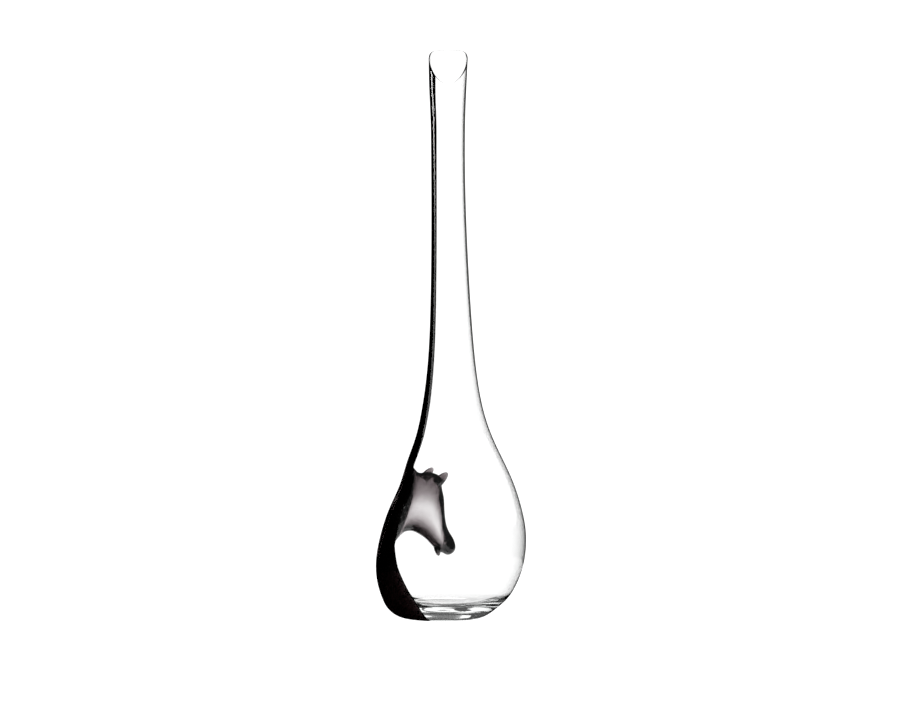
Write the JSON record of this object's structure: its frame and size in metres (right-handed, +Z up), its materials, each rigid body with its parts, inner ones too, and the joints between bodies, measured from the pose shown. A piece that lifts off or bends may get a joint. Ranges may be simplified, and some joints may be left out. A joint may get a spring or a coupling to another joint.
{
  "type": "wine decanter",
  "caption": "Tall glass wine decanter: slim neck with a cut pouring mouth, off-round bulb on a thick base, black glass stripe and a hollow horse's head inside.",
  "frame": {"origin": "Centre of the bounding box in plan, at the level of the foot.", "axes": "+Z up along the neck; the horse's head grows from the -X wall and looks towards +X; the low side of the cut mouth faces -Y."},
  "size_m": [0.1589, 0.157, 0.6],
  "materials": {
    "clear_crystal": "clear fire-polished crystal",
    "black_glass": "fire-polished black glass, deep plum where it thins",
    "smoke_glass": "thin-walled smoke-black glass"
  },
  "bodies": {
    "root": {"crystal_neck": "clear_crystal", "crystal_bulb": "clear_crystal", "neck_stripe": "black_glass", "chest_stripe": "black_glass", "horse_head": "smoke_glass", "near_ear": "smoke_glass", "far_ear": "smoke_glass", "lower_lip": "smoke_glass"}
  },
  "joints": []
}
